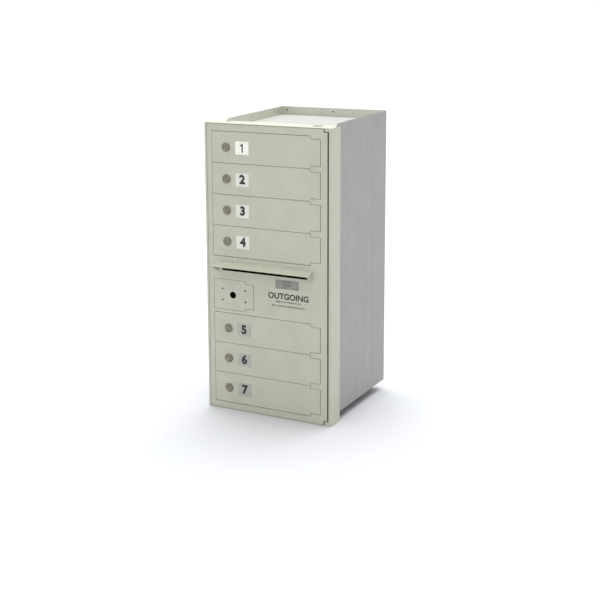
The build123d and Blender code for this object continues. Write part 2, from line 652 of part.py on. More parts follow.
def slot_baffle():
    """The sheet behind the slot that stops a hand or a hook reaching down."""
    x = (SLOT_X0 - BAFFLE_OVERLAP, SLOT_X1 + BAFFLE_OVERLAP)
    front, top = MASTER_SHEET, UPPER_BASE - BAFFLE_TOP_GAP
    knee = top - BAFFLE_FLANGE
    baffle = prism_x(x, [
        (front, top), (front, knee), (front + BAFFLE_REACH, knee - BAFFLE_DROP),
        (front + BAFFLE_REACH + BAFFLE_SHEET, knee - BAFFLE_DROP),
        (front + BAFFLE_SHEET, knee + BAFFLE_SHEET), (front + BAFFLE_SHEET, top),
    ])
    for rivet_x in BAFFLE_RIVETS:
        baffle -= rod_y(rivet_x, (front, front + BAFFLE_SHEET), BAFFLE_RIVET_LEVEL, RIVET_RADIUS)
    return baffle


def baffle_rivets():
    """Rivets with low round heads on the face, holding the baffle."""
    rivets = []
    for x in BAFFLE_RIVETS:
        shank = rod_y(x, (0, MASTER_SHEET + BAFFLE_SHEET), BAFFLE_RIVET_LEVEL, RIVET_RADIUS)
        head = rod_y(x, (-RIVET_HEAD_HEIGHT, 0), BAFFLE_RIVET_LEVEL, RIVET_HEAD_RADIUS)
        front = head.edges().filter_by(lambda edge: edge.center().Y < -RIVET_HEAD_HEIGHT / 2)
        rivets.append(fillet(front, RIVET_HEAD_HEIGHT / 2) + shank)
    return Compound(children=rivets)


def latch_guides():
    """Closed loops on the back of the master door that the latch bar slides in."""
    guides = []
    bar_x = (LEFT + LATCH_BAR_LEFT, LEFT + LATCH_BAR_LEFT + LATCH_BAR_WIDTH)
    hole_x = (bar_x[0] - GUIDE_CLEARANCE, bar_x[1] + GUIDE_CLEARANCE)
    hole_y = (LATCH_BAR_FRONT - GUIDE_CLEARANCE, LATCH_BAR_BACK + GUIDE_CLEARANCE)
    for level in GUIDE_LEVELS:
        span = (level, level + GUIDE_HEIGHT)
        loop = block((MASTER_LEFT + MASTER_SHEET, LEFT + STRIP_LEG),
                     (MASTER_SHEET, hole_y[1] + GUIDE_WALL), span)
        guides.append(loop - block(hole_x, hole_y, span))
    return Compound(children=guides)


def latch_bar():
    """The sliding bar with its hooks, which raised stand behind the strikes, and its finger tab."""
    bar_x = (LEFT + LATCH_BAR_LEFT, LEFT + LATCH_BAR_LEFT + LATCH_BAR_WIDTH)
    hook_y = (LATCH_BAR_BACK - HOOK_THICKNESS, LATCH_BAR_BACK)
    pieces = [block(bar_x, (LATCH_BAR_FRONT, LATCH_BAR_BACK), (LATCH_BAR_LOW, LATCH_BAR_HIGH))]
    for level in STRIKE_LEVELS:
        top = level - HOOK_BELOW_STRIKE
        pieces.append(block((LEFT + HOOK_LEFT, bar_x[0]), hook_y, (top - HOOK_HEIGHT, top)))
    pieces.append(block((bar_x[1], LEFT + FINGER_TAB_RIGHT), hook_y,
                        (FINGER_TAB_LEVEL, FINGER_TAB_LEVEL + FINGER_TAB_HEIGHT)))
    return Compound(children=pieces)


def outgoing_label():
    """A plain foil plate on the middle panel."""
    x0 = RIGHT - LABEL_FROM_RIGHT - LABEL_WIDTH
    z1 = UPPER_BASE - LABEL_BELOW_UPPER_DOORS
    return block((x0, x0 + LABEL_WIDTH), (-LABEL_THICKNESS, 0), (z1 - LABEL_HEIGHT, z1))


# --- Locks and number plates -------------------------------------------------------------
def lock_cylinder(number):
    """A cam lock's barrel and head, and the nut that clamps it to the door."""
    z = door_base(number) + DOOR_PITCH / 2
    head = rod_y(LOCK_X, (-LOCK_HEAD_HEIGHT, 0), z, LOCK_HEAD_RADIUS)
    rim = head.edges().filter_by(lambda edge: edge.center().Y < -LOCK_HEAD_HEIGHT / 2)
    barrel = fillet(rim, LOCK_HEAD_HEIGHT / 3)
    barrel += rod_y(LOCK_X, (0, LOCK_BARREL_LENGTH), z, LOCK_BARREL_RADIUS)
    barrel -= rod_y(LOCK_X, (-LOCK_HEAD_HEIGHT, LOCK_BARREL_LENGTH), z, LOCK_PLUG_RADIUS)
    nut_y = (DOOR_SHEET, DOOR_SHEET + LOCK_NUT_THICKNESS)
    hexagon = Plane((LOCK_X, nut_y[0], z), x_dir=(1, 0, 0), z_dir=(0, 1, 0)) * RegularPolygon(
        LOCK_BARREL_RADIUS + LOCK_NUT_WALL, 6, major_radius=False)
    nut = extrude(hexagon, amount=LOCK_NUT_THICKNESS, dir=(0, 1, 0))
    nut -= rod_y(LOCK_X, nut_y, z, LOCK_BARREL_RADIUS)
    return Compound(children=[barrel, nut])


def lock_cam(number):
    """The turning parts of a lock: its plug with the keyway, the cam and the cam screw."""
    z = door_base(number) + DOOR_PITCH / 2
    back = CAM_DEPTH + CAM_THICKNESS
    square = (-CAM_SQUARE / 2, CAM_SQUARE / 2)
    square_x = (LOCK_X + square[0], LOCK_X + square[1])
    square_z = (z + square[0], z + square[1])
    front = -LOCK_HEAD_HEIGHT
    plug = rod_y(LOCK_X, (front, CAM_DEPTH), z, LOCK_PLUG_RADIUS - LOCK_PLUG_CLEARANCE)
    plug += block(square_x, (CAM_DEPTH, back), square_z)
    plug -= block((LOCK_X - KEYWAY_WIDTH / 2, LOCK_X + KEYWAY_WIDTH / 2),
                  (front, front + KEYWAY_DEPTH), (z - KEYWAY_HEIGHT / 2, z + KEYWAY_HEIGHT / 2))
    cam = block((LOCK_X - CAM_WIDTH / 2, LOCK_X + CAM_WIDTH / 2), (CAM_DEPTH, back),
                (z - CAM_REACH + CAM_WIDTH / 2, z))
    for end in (z, z - CAM_REACH + CAM_WIDTH / 2):
        cam += rod_y(LOCK_X, (CAM_DEPTH, back), end, CAM_WIDTH / 2)
    cam -= block(square_x, (CAM_DEPTH, back), square_z)
    screw_y = (CAM_DEPTH - CAM_THICKNESS, back)
    plug -= rod_y(LOCK_X, screw_y, z, CAM_SCREW_RADIUS)
    screw = rod_y(LOCK_X, screw_y, z, CAM_SCREW_RADIUS)
    screw += rod_y(LOCK_X, (back, back + CAM_SCREW_HEAD_HEIGHT), z, CAM_SCREW_HEAD_RADIUS)
    return Compound(children=[plug, cam, screw])


def number_plate(number):
    """The foil number plate beside a lock."""
    z = door_base(number) + DOOR_PITCH / 2
    x0 = DOOR_X0 + PLATE_FROM_LEFT
    return block((x0, x0 + PLATE_WIDTH), (-PLATE_THICKNESS, 0),
                 (z - PLATE_HEIGHT / 2, z + PLATE_HEIGHT / 2))


# --- Every node --------------------------------------------------------------------------
def all_nodes():
    nodes = {
        "left_side_panel": side_panel(BODY_LEFT, 1),
        "right_side_panel": side_panel(BODY_RIGHT, -1),
        "back_panel": back_panel(),
        "top_panel": top_panel(),
        "bottom_panel": bottom_panel(),
        "cabinet_rivets": cabinet_rivets(),
        "frame_left_stile": left_stile(),
        "frame_right_stile": right_stile(),
        "frame_top_rail": top_rail(),
        "frame_bottom_rail": bottom_rail(),
        "top_rail_plug": rail_plug(),
        "master_hinge_tabs": master_hinge_tabs(),
        "master_hinge_pins": master_hinge_pins(),
        "latch_strikes": latch_strikes(),
        "outgoing_ceiling": folded_deck(UPPER_BASE, SHELF_SHEET, SHELF_LIP),
        "outgoing_floor": folded_deck(LOWER_TOP, SHELF_SHEET, SHELF_LIP),
        "master_door_panel": master_door_panel(),
        "hinge_brackets": hinge_brackets(),
        "door_hinge_pins": door_hinge_pins(),
        "strike_strips": strike_strips(),
        "slot_hood": slot_hood(),
        "slot_baffle": slot_baffle(),
        "baffle_rivets": baffle_rivets(),
        "latch_guides": latch_guides(),
        "latch_bar": latch_bar(),
        "outgoing_label": outgoing_label(),
        "lock_door_panel": lock_door(),
    }
    for number in range(1, UPPER_DOORS + LOWER_DOORS + 1):
        nodes[f"door_panel_{number}"] = tenant_door(number)
        nodes[f"lock_cylinder_{number}"] = lock_cylinder(number)
        nodes[f"lock_cam_{number}"] = lock_cam(number)
        nodes[f"number_plate_{number}"] = number_plate(number)
        if number not in (UPPER_DOORS, UPPER_DOORS + LOWER_DOORS):
            nodes[f"shelf_under_door_{number}"] = folded_deck(door_base(number), SHELF_SHEET, SHELF_LIP)
    return nodes


def place(shape):
    """Move a piece so that the origin is under the middle of the whole object."""
    return Pos(0, ORIGIN_SHIFT, 0) * shape


os.makedirs("parts", exist_ok=True)
for name, shape in all_nodes().items():
    export_step(place(shape), f"parts/{name}.step")
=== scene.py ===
import math

import bmesh
import bpy
from mathutils import Matrix, Vector


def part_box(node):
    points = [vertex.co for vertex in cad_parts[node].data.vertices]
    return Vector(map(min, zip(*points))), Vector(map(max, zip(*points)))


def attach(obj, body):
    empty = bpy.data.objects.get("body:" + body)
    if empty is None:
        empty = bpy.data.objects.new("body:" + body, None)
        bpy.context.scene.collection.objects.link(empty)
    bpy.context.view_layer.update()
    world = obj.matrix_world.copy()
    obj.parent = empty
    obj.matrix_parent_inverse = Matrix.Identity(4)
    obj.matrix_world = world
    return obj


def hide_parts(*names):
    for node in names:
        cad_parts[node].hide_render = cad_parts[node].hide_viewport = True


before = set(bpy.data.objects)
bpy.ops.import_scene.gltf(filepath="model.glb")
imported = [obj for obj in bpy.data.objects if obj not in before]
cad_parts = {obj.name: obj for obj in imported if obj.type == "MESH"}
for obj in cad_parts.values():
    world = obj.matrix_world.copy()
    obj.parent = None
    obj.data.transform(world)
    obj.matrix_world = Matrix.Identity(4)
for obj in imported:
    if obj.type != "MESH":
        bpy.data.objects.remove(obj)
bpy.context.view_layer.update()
MM = 0.001

# --- Cabinet body -------------------------------------------------------------------------
# The box behind the front: sides, back, floor, open tray and shelves, each cut and folded from
# 1 to 1.2 mm aluminium sheet and left bare. The mill grain runs up the walls and back along the
# decks, and handling has left the metal faintly cloudy. Painted light brightens the tray's inner
# walls.


class Wire:
    """A result in a node tree: arithmetic adds Math nodes, and node() adds any other node."""

    def __init__(self, tree, socket=None):
        self.tree = tree
        self.socket = socket

    def node(self, kind, settings=None, sockets=None, output=0):
        made = self.tree.nodes.new(kind)
        for name, value in (settings or {}).items():
            setattr(made, name, value)
        for key, value in (sockets or {}).items():
            for one in value if isinstance(value, list) else [value]:
                if isinstance(one, Wire):
                    self.tree.links.new(one.socket, made.inputs[key])
                else:
                    made.inputs[key].default_value = one
        return Wire(self.tree, made.outputs[output] if made.outputs else None)

    def output(self, name):
        return Wire(self.tree, self.socket.node.outputs[name])

    def math(self, operation, first, second):
        return self.node("ShaderNodeMath", {"operation": operation}, {0: first, 1: second})

    def __add__(self, other):
        return self.math("ADD", self, other)

    def __radd__(self, other):
        return self.math("ADD", other, self)

    def __sub__(self, other):
        return self.math("SUBTRACT", self, other)

    def __rsub__(self, other):
        return self.math("SUBTRACT", other, self)

    def __mul__(self, other):
        return self.math("MULTIPLY", self, other)

    def __rmul__(self, other):
        return self.math("MULTIPLY", other, self)


def srgb(red, green, blue):
    """A screen colour, 0 to 255, as the linear colour that a shader takes."""
    linear = [((part / 255 + 0.055) / 1.055) ** 2.4 for part in (red, green, blue)]
    return (*linear, 1.0)


def begin_finish(name, **constants):
    """A new material whose shader has these constants, and a Wire of Object coordinates."""
    material = bpy.data.materials.new(name)
    material.use_nodes = True
    shader = material.node_tree.nodes["Principled BSDF"]
    for key, value in constants.items():
        shader.inputs[key.replace("_", " ")].default_value = value
    place = Wire(material.node_tree).node("ShaderNodeTexCoord", output="Object")
    return material, place


def end_finish(material, colour, roughness, height=None, relief=0.0):
    """Link what varies: colour, roughness and a bump of that depth in metres."""
    tree = material.node_tree
    shader = tree.nodes["Principled BSDF"]
    tree.links.new(colour.socket, shader.inputs["Base Color"])
    tree.links.new(roughness.socket, shader.inputs["Roughness"])
    if height is not None:
        bump = height.node("ShaderNodeBump", sockets={"Distance": relief, "Height": height})
        tree.links.new(bump.socket, shader.inputs["Normal"])
    return material


def noise(place, size, stretch=(1, 1, 1), detail=2.0, output="Fac"):
    """Noise whose features are about size metres across, times stretch along each axis."""
    scale = tuple(1 / (size * times) for times in stretch)
    moved = place.node("ShaderNodeMapping", sockets={"Vector": place, "Scale": scale})
    return moved.node("ShaderNodeTexNoise",
                      sockets={"Vector": moved, "Scale": 1.0, "Detail": detail}, output=output)


def ramp(value, low, high, start=0.0, end=1.0):
    """Value taken from low..high to start..end, smoothly and without overshoot."""
    return value.node("ShaderNodeMapRange", {"interpolation_type": "SMOOTHSTEP"},
                      {"Value": value, "From Min": low, "From Max": high,
                       "To Min": start, "To Max": end})


def blend(amount, first, second):
    """A colour between first and second."""
    return amount.node("ShaderNodeMix", {"data_type": "RGBA"}, {0: amount, 6: first, 7: second},
                       output=2)


def axes(place):
    """A position's X, Y and Z."""
    parts = place.node("ShaderNodeSeparateXYZ", sockets={"Vector": place})
    return [parts.output(axis) for axis in "XYZ"]


def bare_aluminium(name, grain, dull, clean, tray=None):
    """Mill-finish sheet between two tones; painted light brightens the inside of the tray whose
    outer corner is given.
    """
    material, place = begin_finish(name, Metallic=0.82)
    streaks = noise(place, 1.2 * MM, grain, detail=4.0)
    bands = noise(place, 11 * MM, grain, detail=2.0)
    clouds = noise(place, 70 * MM, detail=3.0)
    tone = ramp(streaks * 0.3 + bands * 0.3 + clouds * 0.4, 0.3, 0.7)
    smears = ramp(noise(place, 35 * MM, (1, 1, 1.6), detail=5.0), 0.52, 0.74, 0.0, 0.4)
    colour = blend(smears, blend(tone, dull, clean), clean)
    if tray is not None:
        skin, core = 0.3 * MM, 0.9 * MM
        wander, fade = 6 * MM, 4 * MM
        across, back, up = axes(place)
        # Painted light: the tray's inner walls above the tray floor are coloured brighter, standing
        # in for the light that falls into the open tray.
        inside = ramp(across, tray.x + skin, tray.x + core)
        inside = inside * ramp(back, tray.y - skin, tray.y - core)
        painted_tray_light = inside * ramp(up + clouds * wander, tray.z - fade, tray.z + fade)
        colour = blend(painted_tray_light, colour, blend(tone, srgb(214, 217, 203), srgb(224, 226, 213)))
    roughness = 0.42 + streaks * 0.08 + clouds * 0.08
    return end_finish(material, colour, roughness, streaks, 0.006 * MM)


def each_face_width(shape):
    """Every face's mean width, from its area and its outline's length."""
    return {face: 2 * face.calc_area() / face.calc_perimeter() for face in shape.faces}


def new_object(name, data):
    """An object in the scene, at the origin."""
    made = bpy.data.objects.new(name, data)
    bpy.context.scene.collection.objects.link(made)
    return made


def softened(node, body, material, bend=1.6 * MM, deburr=0.22 * MM, sheet=3 * MM):
    """A copy of a folded-sheet node whose folds are rounded and whose cut edges are eased.

    A face no wider than sheet is the metal's cut edge. Broad faces are shaded flat.
    """
    fold_angle = math.radians(40)
    inner_share = 0.45
    narrow = 1 * MM
    shape = bmesh.new()
    shape.from_mesh(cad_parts[node].data)
    bmesh.ops.remove_doubles(shape, verts=shape.verts, dist=0.002 * MM)
    bmesh.ops.dissolve_limit(shape, angle_limit=math.radians(1), verts=shape.verts,
                             edges=shape.edges)
    width = each_face_width(shape)
    weight = shape.edges.layers.float.new("bevel_weight_edge")
    for edge in shape.edges:
        if len(edge.link_faces) == 2 and edge.calc_face_angle() > fold_angle:
            folded = min(width[face] for face in edge.link_faces) > sheet
            share = 1.0 if edge.is_convex else inner_share
            edge[weight] = share if folded else deburr / bend
    name = f"{node}_folded"
    data = bpy.data.meshes.new(name)
    for face in shape.faces:
        face.smooth = width[face] < narrow
    shape.to_mesh(data)
    shape.free()
    data.materials.clear()
    data.materials.append(material)
    piece = new_object(name, data)
    bevel = piece.modifiers.new("folds", "BEVEL")
    bevel.limit_method = "WEIGHT"
    bevel.width = bend
    bevel.segments = 3
    bevel.harden_normals = True
    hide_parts(node)
    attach(piece, body)


def dress(nodes, material):
    """Give CAD nodes that stay in view a finish."""
    for node in nodes:
        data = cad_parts[node].data
        data.materials.clear()
        data.materials.append(material)


GRAIN_UP = (1, 1, 60)
GRAIN_BACK = (1, 60, 1)
WALL_DULL = srgb(154, 156, 152)
WALL_CLEAN = srgb(166, 167, 163)
CABINET_BEND = 0.9 * MM
TRAY_CORNER = Vector((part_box("left_side_panel")[0].x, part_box("back_panel")[1].y,
                      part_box("top_panel")[1].z))
SIDE_ALUMINIUM = bare_aluminium("side_aluminium", GRAIN_UP, WALL_DULL, WALL_CLEAN)
BACK_ALUMINIUM = bare_aluminium("back_aluminium", GRAIN_UP, WALL_DULL, WALL_CLEAN, TRAY_CORNER)
DECK_ALUMINIUM = bare_aluminium("deck_aluminium", GRAIN_BACK, srgb(178, 180, 175),
                                srgb(190, 192, 187))
# Painted shade: the tray floor is the deck sheet coloured darker, offsetting the strong light that
# falls on it from above.
TRAY_ALUMINIUM = bare_aluminium("tray_aluminium", GRAIN_BACK, srgb(164, 166, 161),
                                srgb(176, 178, 173))
cabinet_sheets = {"left_side_panel": BACK_ALUMINIUM, "right_side_panel": SIDE_ALUMINIUM,
                  "back_panel": BACK_ALUMINIUM, "top_panel": TRAY_ALUMINIUM}
decks = ["bottom_panel", "outgoing_ceiling", "outgoing_floor"]
decks += [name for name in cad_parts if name.startswith("shelf_under_door")]
cabinet_sheets.update(dict.fromkeys(decks, DECK_ALUMINIUM))
for node, metal in cabinet_sheets.items():
    softened(node, "cabinet", metal, bend=CABINET_BEND)

# --- Rivets -------------------------------------------------------------------------------
# Aluminium blind rivets: eight through the back seams, flush outside, and two with low round
# heads on the face that hold the letter slot's baffle. Those heads have the pit in the middle
# that a pulled stem leaves.


def bright_metal(name, dark, light, base_roughness, metallic=1.0):
    """Drawn or plated metal with fine random scuffs."""
    material, place = begin_finish(name, Metallic=metallic)
    scuffs = noise(place, 0.8 * MM, detail=5.0)
    patches = noise(place, 7 * MM, detail=3.0)
    colour = blend(ramp(scuffs * 0.5 + patches * 0.5, 0.35, 0.65), dark, light)
    roughness = base_roughness + scuffs * 0.10 + patches * 0.08
    return end_finish(material, colour, roughness, scuffs, 0.02 * MM)


def add_inputs(tree, sizes):
    """Declare a Geometry Nodes tree's inputs, and give its input node as a Wire."""
    tree.interface.new_socket("Geometry", in_out="INPUT", socket_type="NodeSocketGeometry")
    for name, kind in sizes.items():
        tree.interface.new_socket(name, in_out="INPUT", socket_type=kind)
    tree.interface.new_socket("Geometry", in_out="OUTPUT", socket_type="NodeSocketGeometry")
    return Wire(tree).node("NodeGroupInput")


def close_tree(result, material):
    """End a tree in Realize Instances and Set Material."""
    real = result.node("GeometryNodeRealizeInstances", sockets={"Geometry": result})
    done = real.node("GeometryNodeSetMaterial", sockets={"Geometry": real, "Material": material})
    done.node("NodeGroupOutput", sockets={"Geometry": done})


def domed_rivets():
    """A tree that puts a domed rivet with a stem pit and a shank on every point, facing -Y."""
    tree = bpy.data.node_groups.new("domed_rivets", "GeometryNodeTree")
    sizes = dict.fromkeys(("Head Radius", "Head Height", "Pit Radius", "Shank Radius",
                           "Shank Length"), "NodeSocketFloat")
    given = add_inputs(tree, {**sizes, "Material": "NodeSocketMaterial"})
    radius, height, pit, shank_radius, shank_length = (given.output(name) for name in sizes)
    ball = given.node("GeometryNodeMeshUVSphere", sockets={"Segments": 28, "Rings": 14,
                                                           "Radius": 1.0})
    squash = given.node("ShaderNodeCombineXYZ", sockets={"X": radius, "Y": radius, "Z": height})
    dome = ball.node("GeometryNodeTransform", sockets={"Geometry": ball, "Scale": squash})
    pit_share = 0.45
    across, back, up = axes(dome.node("GeometryNodeInputPosition"))
    squared = across * across + back * back
    distance = squared.math("POWER", squared, 0.5)
    dip = distance.math("LESS_THAN", distance, pit) * height * pit_share
    pitted = up.math("MAXIMUM", up, 0.0) - dip
    level = pitted.math("MAXIMUM", pitted, 0.0)
    flat = level.node("ShaderNodeCombineXYZ", sockets={"X": across, "Y": back, "Z": level})
    head = dome.node("GeometryNodeSetPosition", sockets={"Geometry": dome, "Position": flat})
    rod = given.node("GeometryNodeMeshCylinder", sockets={
        "Vertices": 24, "Radius": shank_radius, "Depth": shank_length})
    sunk = given.node("ShaderNodeCombineXYZ", sockets={"Z": shank_length * -0.5})
    shank = rod.node("GeometryNodeTransform", sockets={"Geometry": rod, "Translation": sunk})
    rivet = head.node("GeometryNodeJoinGeometry", sockets={"Geometry": [head, shank]})
    copies = rivet.node("GeometryNodeInstanceOnPoints", sockets={
        "Points": given.output("Geometry"), "Instance": rivet,
        "Rotation": (math.pi / 2, 0.0, 0.0)})
    close_tree(copies, given.output("Material"))
    return tree


def grown(name, tree, points, values, body):
    """Run a tree on a few points, and keep what it makes as one plain mesh on a body."""
    seed = bpy.data.meshes.new(f"{name}_points")
    seed.from_pydata([tuple(point) for point in points], [], [])
    maker = new_object(f"{name}_maker", seed)
    modifier = maker.modifiers.new("maker", "NODES")
    modifier.node_group = tree
    for item in tree.interface.items_tree:
        if item.item_type == "SOCKET" and item.in_out == "INPUT" and item.name in values:
            modifier[item.identifier] = values[item.name]
    graph = bpy.context.evaluated_depsgraph_get()
    data = bpy.data.meshes.new_from_object(maker.evaluated_get(graph))
    bpy.data.objects.remove(maker)
    data.name = name
    piece = new_object(name, data)
    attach(piece, body)
    return piece


RIVET_METAL = bright_metal("rivet_aluminium", srgb(196, 197, 192), srgb(226, 227, 222), 0.24)
dress(["cabinet_rivets"], RIVET_METAL)
RIVET_HEAD_RADIUS = 4.0 * MM
RIVET_HEAD_HEIGHT = 1.2 * MM
RIVET_PIT_RADIUS = 1.1 * MM
RIVET_SHANK_RADIUS = 2.35 * MM
rivet_low, rivet_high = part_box("baffle_rivets")
rivet_face = rivet_low.y + RIVET_HEAD_HEIGHT
rivet_level = (rivet_low.z + rivet_high.z) / 2
rivet_points = [Vector((x, rivet_face, rivet_level))
                for x in (rivet_low.x + RIVET_HEAD_RADIUS, rivet_high.x - RIVET_HEAD_RADIUS)]
face_rivets = grown("baffle_rivets_domed", domed_rivets(), rivet_points, {
    "Head Radius": RIVET_HEAD_RADIUS, "Head Height": RIVET_HEAD_HEIGHT,
    "Pit Radius": RIVET_PIT_RADIUS, "Shank Radius": RIVET_SHANK_RADIUS,
    "Shank Length": rivet_high.y - rivet_face, "Material": RIVET_METAL},
    "master_door")
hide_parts("baffle_rivets")

# --- Collar -------------------------------------------------------------------------------
# The frame round the front: two stiles and two rails folded from 1.6 mm sheet and powder
# coated a pale grey-green. The coat is satin, with the faint orange-peel of a baked powder,
# and it rounds every edge a little.
PAINT_LIGHT = srgb(184, 186, 170)
PAINT_DARK = srgb(181, 183, 166)


def powder_coat(name, light, dark, corner=None):
    """Baked powder paint with a fine orange-peel; painted shade darkens the fold behind a corner.
    """
    material, place = begin_finish(name, Coat_Roughness=0.3, IOR=1.45)
    patches = noise(place, 60 * MM, detail=3.0)
    specks = noise(place, 0.5 * MM, detail=3.0)
    peel = noise(place, 1.8 * MM, detail=2.0)
    tone = blend(ramp(patches, 0.35, 0.65), dark, light)
    rubbed = ramp(noise(place, 22 * MM, (1, 1, 0.5), detail=4.0), 0.58, 0.80, 0.0, 0.2)
    worn = blend(rubbed, tone, srgb(187, 187, 174))
    colour = blend(ramp(specks, 0.66, 0.80, 0.0, 0.10), worn, srgb(168, 168, 156))
    if corner is not None:
        across, back, _ = axes(place)
        # Painted shade: the fold just behind the corner is coloured dark, standing in for the
        # shadow inside the gap there.
        fold = ramp(across, corner.x - 2.4 * MM, corner.x - 1.0 * MM)
        painted_gap_shade = fold * ramp(back, corner.y + 0.8 * MM, corner.y + 2.4 * MM)
        colour = blend(painted_gap_shade, colour, srgb(52, 54, 46))
    roughness = 0.42 + patches * 0.08 + rubbed * 0.2
    return end_finish(material, colour, roughness, peel + specks * 0.2, 0.012 * MM)


PAINT = powder_coat("powder_coat", PAINT_LIGHT, PAINT_DARK)
for plate in ("frame_left_stile", "frame_right_stile", "frame_top_rail", "frame_bottom_rail"):
    softened(plate, "cabinet", PAINT, bend=1.6 * MM)
softened("master_hinge_tabs", "cabinet", PAINT, bend=0.8 * MM)

# --- Plug in the top rail -----------------------------------------------------------------
# A moulded grey plastic cap pressed into the service hole of the top rail. It has a thin
# rounded flange and a shallow dish with a gate mark in the middle.
SHARP_ANGLE = math.radians(38)


def lathe(profile, centre, steps=48):
    """Turn (radius, depth) points about a line along Y; a radius may be a rule of the angle."""
    shape = bmesh.new()
    rings = []
    for radius, depth in profile:
        if radius == 0:
            rings.append([shape.verts.new((centre.x, centre.y + depth, centre.z))])
            continue
        ring = []
        for step in range(steps):
            angle = 2 * math.pi * step / steps
            reach = radius(angle) if callable(radius) else radius
            ring.append(shape.verts.new((centre.x + reach * math.cos(angle), centre.y + depth,
                                         centre.z + reach * math.sin(angle))))
        rings.append(ring)
    for first, second in zip(rings, rings[1:]):
        for step in range(steps):
            after = (step + 1) % steps
            corners = [first[step % len(first)], first[after % len(first)],
                       second[after % len(second)], second[step % len(second)]]
            shape.faces.new(list(dict.fromkeys(corners)))
    bmesh.ops.remove_doubles(shape, verts=shape.verts, dist=0.001 * MM)
    bmesh.ops.recalc_face_normals(shape, faces=shape.faces)
    return shape


def add_piece(name, shape, body, material, stands_for=()):
    """Make an object of a bmesh, smooth it up to its sharp edges, and hand it to a CAD body."""
    for face in shape.faces:
        face.smooth = True
    for edge in shape.edges:
        edge.smooth = len(edge.link_faces) == 2 and edge.calc_face_angle() < SHARP_ANGLE
    data = bpy.data.meshes.new(name)
    shape.to_mesh(data)
    shape.free()
    data.materials.append(material)
    piece = new_object(name, data)
    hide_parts(*stands_for)
    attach(piece, body)


def joined(*shapes):
    """Several bmeshes as one."""
    whole = bmesh.new()
    for shape in shapes:
        data = bpy.data.meshes.new("part")
        shape.to_mesh(data)
        shape.free()
        whole.from_mesh(data)
        bpy.data.meshes.remove(data)
    return whole


def moulded_plastic(name, light, dark):
    """Satin moulding with a fine spark-eroded texture."""
    material, place = begin_finish(name)
    grain = noise(place, 0.35 * MM, detail=3.0)
    flow = noise(place, 9 * MM, detail=2.0)
    colour = blend(ramp(flow, 0.3, 0.7), dark, light)
    return end_finish(material, colour, 0.45 + grain * 0.15, grain, 0.02 * MM)


PLUG_PLASTIC = moulded_plastic("plug_plastic", srgb(128, 130, 124), srgb(112, 114, 108))
plug_low, plug_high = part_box("top_rail_plug")
plug_radius = (plug_high.x - plug_low.x) / 2
plug_height = plug_high.z - plug_low.z
PLUG_RIM = 0.8 * MM
PLUG_STEM = 13.5 * MM
plug = lathe([
    (0, -plug_height), (PLUG_STEM, -plug_height), (PLUG_STEM, -PLUG_RIM),
    (plug_radius - 0.3 * MM, -PLUG_RIM), (plug_radius, -0.5 * MM),
    (plug_radius - 0.6 * MM, -0.1 * MM), (plug_radius - 1.6 * MM, 0),
    (plug_radius - 3.4 * MM, 0), (plug_radius - 4.2 * MM, -0.5 * MM),
    (2.0 * MM, -0.6 * MM), (1.4 * MM, -0.3 * MM), (0, -0.3 * MM),
], Vector((0, 0, 0)))
stand_up = Matrix.Rotation(math.pi / 2, 4, "X")
plug_top = Vector(((plug_low.x + plug_high.x) / 2, (plug_low.y + plug_high.y) / 2, plug_high.z))
bmesh.ops.transform(plug, matrix=Matrix.Translation(plug_top) @ stand_up, verts=plug.verts)
add_piece("service_hole_plug", plug, "cabinet", PLUG_PLASTIC, ["top_rail_plug"])

# --- Shade in the tray holes --------------------------------------------------------------
# Each wall of the open tray has three fixing holes, dark inside because the unit is meant to
# stand in a wall. A thin dark disc within the sheet gives that shade.
HOLE_SHADE = moulded_plastic("hole_shade", srgb(62, 63, 58), srgb(50, 51, 47))
HOLE_RADIUS = 2.45 * MM
HOLE_DROP = 10.5 * MM
SHEET = 1.2 * MM
SHADE_FRONT = 0.4 * MM
SHADE_REAR = 0.8 * MM
BACK_HOLE_PITCH = 152 * MM
SIDE_HOLES_TO_REAR = (199 * MM, 55 * MM, 27 * MM)


def shade_disc(centre, turn):
    """A thin disc in the middle of the sheet, turned about Z by that many degrees."""
    disc = lathe([(0, SHADE_FRONT), (HOLE_RADIUS, SHADE_FRONT), (HOLE_RADIUS, SHADE_REAR),
                  (0, SHADE_REAR)], Vector((0, 0, 0)), 20)
    stand = Matrix.Translation(centre) @ Matrix.Rotation(math.radians(turn), 4, "Z")
    bmesh.ops.transform(disc, matrix=stand, verts=disc.verts)
    return disc


left_low, left_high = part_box("left_side_panel")
right_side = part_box("right_side_panel")[1].x
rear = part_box("back_panel")[1].y
hole_level = left_high.z - HOLE_DROP
tray_middle = (left_low.x + right_side) / 2
discs = [shade_disc(Vector((tray_middle + step * BACK_HOLE_PITCH, rear - SHEET, hole_level)), 0)
         for step in (-1, 0, 1)]
for to_rear in SIDE_HOLES_TO_REAR:
    discs.append(shade_disc(Vector((left_low.x, rear - to_rear, hole_level)), -90))
    discs.append(shade_disc(Vector((right_side - SHEET, rear - to_rear, hole_level)), -90))
add_piece("tray_hole_shades", joined(*discs), "cabinet", HOLE_SHADE)

# --- Master door --------------------------------------------------------------------------
# The whole front is one 2 mm sheet, folded back 10 mm at its edges and punched for the doors.
# The sloped hood over the letter slot is a bent sheet with two cheeks, welded on and painted
# with it.
panel_low, panel_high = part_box("master_door_panel")
# The hinge-side fold behind the panel's right edge gets painted shade, so that the gap there reads
# dark.
HINGE_SIDE_PAINT = powder_coat("powder_coat_hinge_side", PAINT_LIGHT, PAINT_DARK,
                               Vector((panel_high.x, panel_low.y, 0)))
softened("master_door_panel", "master_door", HINGE_SIDE_PAINT, bend=1.4 * MM)
softened("slot_hood", "master_door", PAINT, bend=0.9 * MM, sheet=2.4 * MM)
